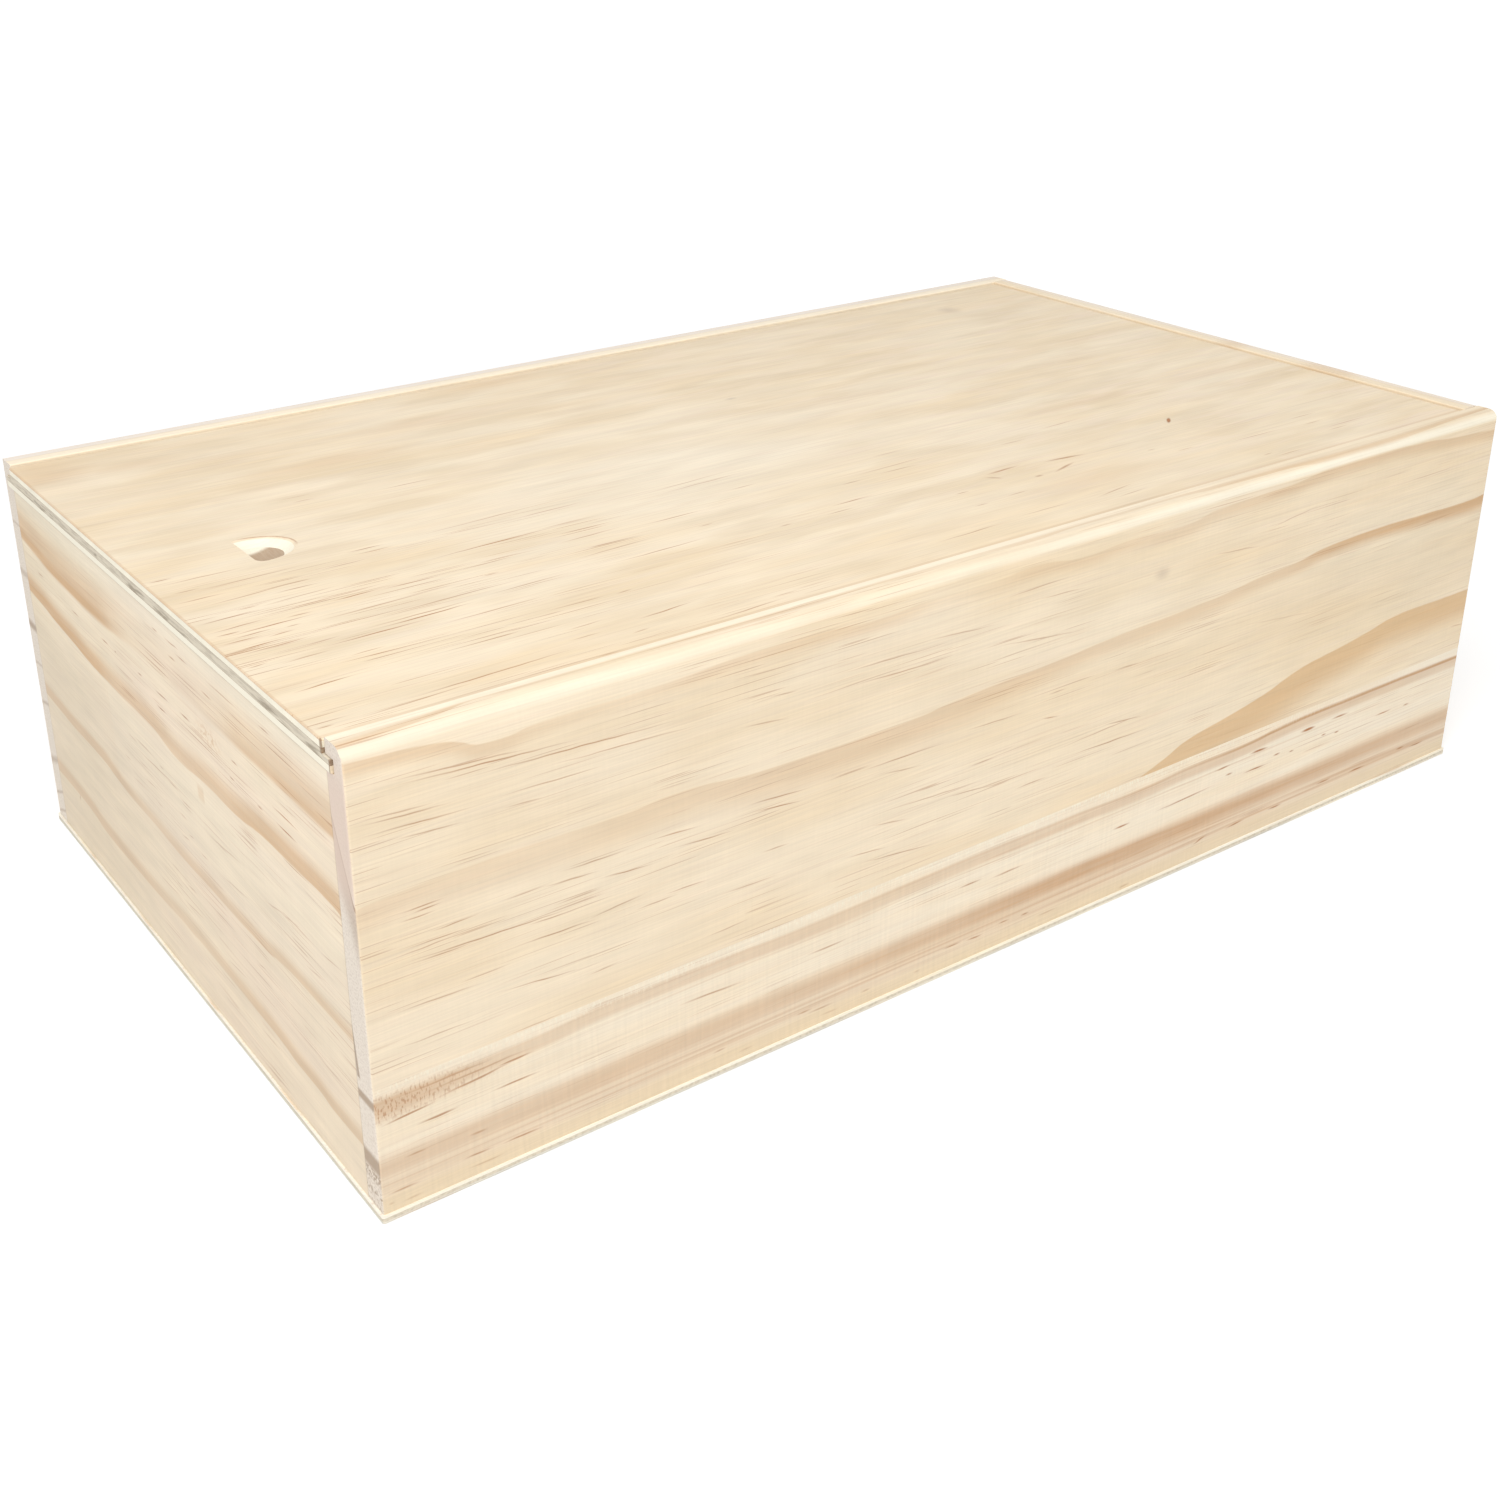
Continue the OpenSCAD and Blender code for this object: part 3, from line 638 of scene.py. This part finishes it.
def lid_face_ply():
    """Rotary-cut: broad clouds, long resin streaks towards the front and the right."""
    b = Board("lid_face_wood", ALONG_BOX, FROM_LEFT, INTO_LID, seed=101)
    b.bend(sway=0.5)
    marks = b.marks([
        (2, 19, 180.7, 179.8, 0.7), (14, 24, 160.7, 160.3, 0.4), (25, 60, 160.2, 159, 0.45),
        (30, 57, 161.5, 160.7, 0.75), (15, 46, 163.6, 163.1, 0.6), (0, 6, 164.5, 164, 0.4),
        (6, 20, 166.4, 165.7, 0.4), (40, 73, 167.6, 166.6, 0.45), (19, 30, 171, 170.6, 0.4),
        (82, 88, 175, 174.8, 0.4), (60, 70, 176.2, 176.2, 0.35), (62, 74, 186.2, 185.4, 0.45),
        (77, 96, 190, 188.5, 0.75), (60, 70, 191, 191, 0.4), (17, 63, 196.5, 194.7, 0.75),
        (5, 40, 198.6, 197, 0.5), (0, 5, 198, 198, 0.5), (73, 79, 195.5, 195, 0.4),
        (108, 118, 197, 197, 0.4), (88, 115, 200.3, 198.5, 0.5), (60, 68, 201.3, 201.3, 0.4),
        (0, 7, 108, 108, 0.6), (0, 25, 111.3, 111.3, 0.35), (2, 10, 117.5, 117.5, 0.4),
        (4, 37, 119, 118, 0.4), (44, 56, 116.8, 116.8, 0.6), (56, 112, 117, 114, 0.3),
        (45, 57, 119.3, 119.3, 0.4), (84, 112, 120.3, 119, 0.35), (0, 14, 123.5, 123.5, 0.4),
        (33, 50, 123.5, 123, 0.35), (2, 32, 128.8, 126.5, 0.4), (55, 98, 132.3, 130.4, 0.6),
        (20, 34, 130.2, 130.2, 0.4), (0, 16, 137.8, 136.6, 0.5), (10, 17, 134.5, 134.5, 0.4),
        (14, 37, 135.6, 134, 0.4), (25, 44, 139.8, 139.3, 0.35), (0, 16, 143.3, 142.5, 0.5),
        (28, 43, 142, 141.5, 0.6), (60, 78, 142.2, 141.6, 0.4), (86, 108, 141, 140, 0.4),
        (110, 132, 142.3, 141.8, 0.45), (1, 8, 145.5, 145.5, 0.6), (2, 26, 147, 146, 0.6),
        (17, 25, 144.6, 144.6, 0.4), (3, 15, 148.7, 148.3, 0.5), (15, 20, 149.3, 149.3, 0.4),
        (0, 11, 150.5, 150.5, 0.5), (10, 18, 152, 151.4, 0.45), (19, 56, 150.4, 149.2, 0.45),
        (63, 69, 148.5, 148.5, 0.35), (0, 15, 155.2, 154.4, 0.6), (30, 76, 156, 154.8, 0.4),
        (0, 21, 157.5, 156.8, 0.5), (84, 112, 152, 150.5, 0.35), (57, 84, 159, 158, 0.4),
        (90, 123, 159.3, 158, 0.45), (122, 153, 123.5, 121.5, 0.3), (125, 157, 126, 124.3, 0.35),
        (142, 153, 133.8, 133.8, 0.3), (121, 127, 151, 151, 0.3), (155, 172, 158.6, 158.3, 0.5),
        (150, 162, 162.8, 162.8, 0.35), (137, 142, 162.5, 162.5, 0.35),
        (172, 207, 144.2, 142.5, 0.3), (168, 177, 147.5, 147.5, 0.35),
        (180, 198, 146.6, 146.6, 0.3), (188, 202, 134.8, 134.8, 0.25),
        (222, 236, 147.5, 147.5, 0.25), (187, 193, 170.3, 170.3, 0.4),
        (185, 191, 179.8, 179.8, 0.35), (196, 206, 178.8, 178.8, 0.35),
        (158, 187, 193.3, 192.3, 0.45), (187, 210, 191.5, 191.5, 0.35),
        (214, 232, 193, 190.5, 0.5), (218, 232, 196, 195, 0.4), (240, 262, 144, 142.5, 0.3),
        (305, 320, 178.5, 178.5, 0.3), (305, 315, 184.2, 184.2, 0.3), (275, 300, 182.5, 183, 0.3),
        (306, 330, 189.5, 189.5, 0.3), (306, 318, 191.5, 191.5, 0.3),
        (275, 280, 195.3, 195.3, 0.35), (276, 290, 198, 198, 0.35), (253, 257, 174.5, 174.5, 0.3),
        (258, 268, 179.5, 179.5, 0.3), (70, 88, 81, 81, 0.35), (45, 58, 73.5, 73.5, 0.25),
        (48, 56, 77, 77, 0.25)], thick=0.32)
    loop = b.marks([
        (203, 218, 163.7, 162.8, 0.45), (202, 207, 164.5, 168.5, 0.3),
        (213, 217, 172.3, 172.3, 0.35), (222, 240, 164.5, 166.8, 0.45),
        (219, 232, 173, 169, 0.4)], thick=0.7)
    pin_knot = b.patch(278.8, 159, 3.2, 0.8, 1.0, turn=-0.73)
    clouds = b.patches([
        (71, 52, 30, 8, 0.5), (104, 36, 34, 9, 0.5), (140, 12, 28, 10, 0.5),
        (5, 18, 18, 20, 0.6), (27, 25, 18, 8, 0.4), (220, 88, 44, 6, 0.3), (302, 96, 24, 6, 0.3),
        (278, 132, 40, 4, 0.4), (326, 133, 40, 5, 0.4), (225, 182, 40, 12, 0.4)])
    smudges = b.patches([(314, 27, 6, 6.5, 0.35), (191, 68.5, 3, 1.2, 0.4)])
    figure = b.noise(26, 5.5, detail=2, warp=1.2).ramp(0.5, 0.72)
    right_hand = b.along.ramp(100, 300)
    far_side = b.across.ramp(35, 110, 1.0, 0.0)
    ground = b.mix(right_hand * 0.2, b.ground(cloud=(60, 16)), GREENISH)
    ground = b.mix(b.noise(50, 12, detail=3).ramp(0.45, 0.62) * 0.42, ground, SHADED)
    ground = b.mix(far_side * 0.12, ground, SHADED)
    ground = b.mix(b.patch(145, 112, 95, 48, 0.7), ground, LOWER_PALE)
    ground = b.mix(figure * (right_hand * 0.35 + 0.2), ground, PINKISH)
    front_right = b.along.ramp(60, 170, 1.0, 0.12) * b.across.ramp(95, 135)
    near_edge = b.across.ramp(165, 195) * b.along.ramp(330, 250)
    scoop_rim = b.reach(27.4, 102.2, 11.0, 8.4).window(1.0, 1.035, 0.02)
    scoop_rim = scoop_rim * b.along.ramp(26.5, 30) * b.across.ramp(106, 101)
    # Painted shadow: a thin darker line on the lid where it meets the near lip
    shadow_beside_lip = b.across.window(200.9, 201.9, 0.25)
    torn_corner = b.along.ramp(-0.3, -0.1, 1.0, 0.0) * b.across.ramp(201.5, 202.1)
    return b.wood(
        ground, clouds * 0.55, marks.larger(loop).larger(pin_knot),
        dashes=front_right * 0.9, chatter=0.1, mottle=(30, 6, 0.22),
        tints=[(near_edge * 0.25, WARM), (smudges, VIOLET_GREY), (shadow_beside_lip * 0.25, RUSSET),
               (b.along.ramp(-0.4, 0.2, 0.4, 0.0), RUSSET),
               (scoop_rim * 0.75, STREAK), (b.depth.ramp(0.3, 0.45), FRESH_CUT_AND_HIGHLIGHT),
               (torn_corner * 0.8, BURNT)])


def lid_core_ply():
    """Grain across the lid. It shows as the grey middle of the lid's edge and in the notch."""
    b = Board("lid_core_wood", FROM_LEFT, ALONG_BOX, INTO_LID, seed=131)
    b.plane = b.vector(b.along, b.depth)
    fibres = b.noise(5, 0.45, detail=3)
    blots = b.patches([
        (33, 4, 30, 2.5, 0.5), (75, 3.2, 2.0, 1.0, 1.0), (103, 3.8, 11, 1.8, 1.0),
        (121, 3.6, 10, 1.4, 0.8), (132, 4.2, 8, 1.0, 0.7), (176, 3.4, 9, 1.2, 0.9),
        (186, 4.3, 8, 1.0, 0.8), (199, 3.6, 6, 1.4, 0.8)])
    share = fibres.ramp(0.42, 0.62) * 0.45 + blots * fibres.ramp(0.3, 0.6)
    painted = b.mix(share, CORE_PALE, CORE_DARK)
    # In the notch the wood is freshly cut, and brown towards the right
    in_notch = b.across.window(18, 42, 4) * b.along.window(88, 116, 1)
    exposed = in_notch * b.along.ramp(97.4, 98.6)
    painted = b.mix(in_notch * 0.8, painted, FRESH_CUT_AND_HIGHLIGHT)
    painted = b.mix(exposed * (fibres * 0.3 + 0.75), painted, CORE_BROWN)
    glue_lines = b.depth.window(1.7, 1.95, 0.08).larger(b.depth.window(4.05, 4.3, 0.08))
    painted = b.mix(glue_lines * (1.0 - in_notch) * 0.45, painted, END_DARK_AND_SHADOW)
    # The step's two front corners on the right are torn and dark
    torn_corners = b.along.ramp(201.5, 202.1) * b.depth.ramp(3.0, 2.9)
    torn_corners = torn_corners.larger(b.along.ramp(205.1, 205.6))
    torn_corners = torn_corners * b.across.ramp(1.5, 4.0, 1.0, 0.0)
    painted = b.mix(torn_corners * (fibres * 0.4 + 0.6), painted, BURNT)
    return b.surface(painted, 0.7, height=fibres, relief=0.15)


def lid_back_ply():
    """The lid's underside: pale, with a few soft rings and a torn front corner."""
    b = Board("lid_back_wood", ALONG_BOX, FROM_LEFT, INTO_LID, seed=151)
    b.bend(sway=1.5)
    rings = b.stripes([(40, 3, 3, 0.4), (96, 5, 4, 0.35), (150, 4, 3, 0.4)])
    marks = b.marks([
        (30, 60, 60, 60.8, 0.4), (90, 130, 120, 121, 0.4), (200, 240, 80, 79, 0.4),
        (280, 310, 140, 140.6, 0.4), (150, 180, 170, 169.4, 0.4)])
    ends = b.mix(b.across.ramp(205.1, 205.6, 0.0, 0.8), FRESH_CUT_AND_HIGHLIGHT, BURNT)
    return b.wood(b.ground(cloud=(60, 16)), rings, marks, ends=ends)


def base_face_ply(name, seed, raw):
    """An outer ply of the base: raw wood with soft wide stripes."""
    b = Board(name, ALONG_BOX, FROM_LEFT, INTO_BASE, seed=seed)
    b.bend(sway=2.0)
    rings = b.stripes([(30, 2, 4, 0.5), (72, 4, 5, 0.4), (118, 3, 4, 0.5), (164, 5, 5, 0.4)])
    marks = b.marks([
        (40, 70, 50, 50.6, 0.4), (140, 176, 90, 89, 0.4), (220, 250, 140, 140.8, 0.4),
        (290, 330, 60, 60.6, 0.4), (80, 110, 180, 179, 0.4)])
    return b.wood(b.ground(raw, FRESH_CUT_AND_HIGHLIGHT, cloud=(60, 16)), rings, marks, ends=raw)


def base_core_ply():
    """Grain across the base, grey at its edge."""
    b = Board("base_core_wood", FROM_LEFT, ALONG_BOX, INTO_BASE, seed=191)
    fibres = b.noise(7, 0.7, detail=2)
    painted = b.mix(fibres.ramp(0.4, 0.7) * 0.4, CORE_PALE, CORE_DARK)
    return b.surface(painted, 0.75, height=fibres, relief=0.1)


def base_brads():
    steel = Paint(bpy.data.materials.new("brad_metal"))
    return steel.surface(colour("#CFCFD1"), 0.35, metallic=1.0)


def dress():
    """Gives every node of the frame its material."""
    paints = {
        "right_side_upper_lath": right_side_upper_lath(),
        "right_side_lower_lath": right_side_lower_lath(),
        "left_side_board": left_side_board(),
        "front_end_board": front_end_board(),
        "rear_end_board": rear_end_board(),
        "base_top_ply": base_face_ply("base_top_wood", 171, RAW_PALE),
        "base_core_ply": base_core_ply(),
        "base_bottom_ply": base_face_ply("base_bottom_wood", 181, BASE_EDGE),
        "base_brads": base_brads(),
        "lid_face_ply": lid_face_ply(),
        "lid_core_ply": lid_core_ply(),
        "lid_back_ply": lid_back_ply(),
    }
    for name, material in paints.items():
        nodes[name].data.materials[0] = material


# ---------------------------------------------------------------- stage, light and camera

# The camera, solved from the box's seven visible corners in the photograph
PHOTO_SIDE = 1500
PRINCIPAL_POINT = (725.06, 627.28)
FOCAL_PIXELS = 1878.35
CAMERA_PLACE = Vector((-0.30156, -0.39665, 0.26890))
CAMERA_AZIMUTH = math.radians(-35.61)
CAMERA_ELEVATION = math.radians(23.574)
CAMERA_ROLL = math.radians(-0.1535)

SENSOR_WIDTH = 36.0
NEAREST = 0.01
FARTHEST = 20

SKY_LIGHT = 0.57
FLOOR_GREY = (0.86, 0.86, 0.86, 1)
FLOOR_HALF_SIDE = 6.0
FLOOR_GAP = 0.0002
WHITE = (1, 1, 1, 1)

# The floor's own white: less of it near the box, so that the shadow there is kept
GLOW_NEAR = 0.3
GLOW_FAR = 0.6
NEAR_REACH = 0.35
FAR_REACH = 0.9


def camera():
    data = bpy.data.cameras.new("camera")
    data.sensor_width = SENSOR_WIDTH
    data.lens = FOCAL_PIXELS / PHOTO_SIDE * data.sensor_width
    data.shift_x = 0.5 - PRINCIPAL_POINT[0] / PHOTO_SIDE
    data.shift_y = PRINCIPAL_POINT[1] / PHOTO_SIDE - 0.5
    data.clip_start = NEAREST
    data.clip_end = FARTHEST
    back = Vector((math.sin(CAMERA_AZIMUTH) * math.cos(CAMERA_ELEVATION),
                   -math.cos(CAMERA_AZIMUTH) * math.cos(CAMERA_ELEVATION),
                   math.sin(CAMERA_ELEVATION)))
    side = Vector((0, 0, 1)).cross(back).normalized()
    up = back.cross(side)
    turned_side = math.cos(CAMERA_ROLL) * side + math.sin(CAMERA_ROLL) * up
    turned_up = math.cos(CAMERA_ROLL) * up - math.sin(CAMERA_ROLL) * side
    made = bpy.data.objects.new("camera", data)
    made.matrix_world = Matrix((turned_side, turned_up, back)).transposed().to_4x4()
    made.location = CAMERA_PLACE
    bpy.context.scene.collection.objects.link(made)
    bpy.context.scene.camera = made


def floor():
    """A white floor that keeps the box's shadow."""
    side = FLOOR_HALF_SIDE
    mesh = bpy.data.meshes.new("floor")
    corners = [(-side, -side, 0), (side, -side, 0), (side, side, 0), (-side, side, 0)]
    mesh.from_pydata(corners, [], [(0, 1, 2, 3)])
    made = bpy.data.objects.new("floor", mesh)
    made.location.z = cad_box[0].z - FLOOR_GAP
    bpy.context.scene.collection.objects.link(made)
    paint = Paint(bpy.data.materials.new("floor"))
    matt = paint.add("ShaderNodeBsdfDiffuse")
    matt.inputs["Color"].default_value = FLOOR_GREY
    glow = paint.add("ShaderNodeEmission")
    glow.inputs["Color"].default_value = WHITE
    place = paint.wire(paint.add("ShaderNodeTexCoord"), (), output=3)
    length = paint.add("ShaderNodeVectorMath", operation="LENGTH")
    from_box = paint.wire(length, (place,), output=1)
    white = from_box.ramp(NEAR_REACH, FAR_REACH, GLOW_NEAR, GLOW_FAR)
    paint.plug(glow.inputs["Strength"], paint.seen_directly() * white)
    both = paint.add("ShaderNodeAddShader")
    paint.tree.links.new(matt.outputs[0], both.inputs[0])
    paint.tree.links.new(glow.outputs[0], both.inputs[1])
    output = paint.add("ShaderNodeOutputMaterial")
    paint.tree.links.new(both.outputs[0], output.inputs["Surface"])
    mesh.materials.append(paint.owner)


def world():
    made = bpy.data.worlds.new("studio")
    bpy.context.scene.world = made
    paint = Paint(made)
    sky = paint.add("ShaderNodeBackground")
    sky.inputs["Color"].default_value = WHITE
    paint.plug(sky.inputs["Strength"], paint.seen_directly().ramp(0, 1, SKY_LIGHT, 1.0))
    output = paint.add("ShaderNodeOutputWorld")
    paint.tree.links.new(sky.outputs[0], output.inputs["Surface"])


def softbox(name, place, aim, side, power):
    data = bpy.data.lights.new(name, "AREA")
    data.shape = "SQUARE"
    data.size = side
    data.energy = power
    made = bpy.data.objects.new(name, data)
    made.location = place
    made.rotation_euler = (Vector(aim) - Vector(place)).to_track_quat("-Z", "Y").to_euler()
    bpy.context.scene.collection.objects.link(made)


dress()
camera()
floor()
world()
softbox("key", place=(-0.55, -0.62, 1.0), aim=(0, 0, 0.08), side=0.9, power=10.3)
bpy.context.scene.view_settings.view_transform = "Standard"
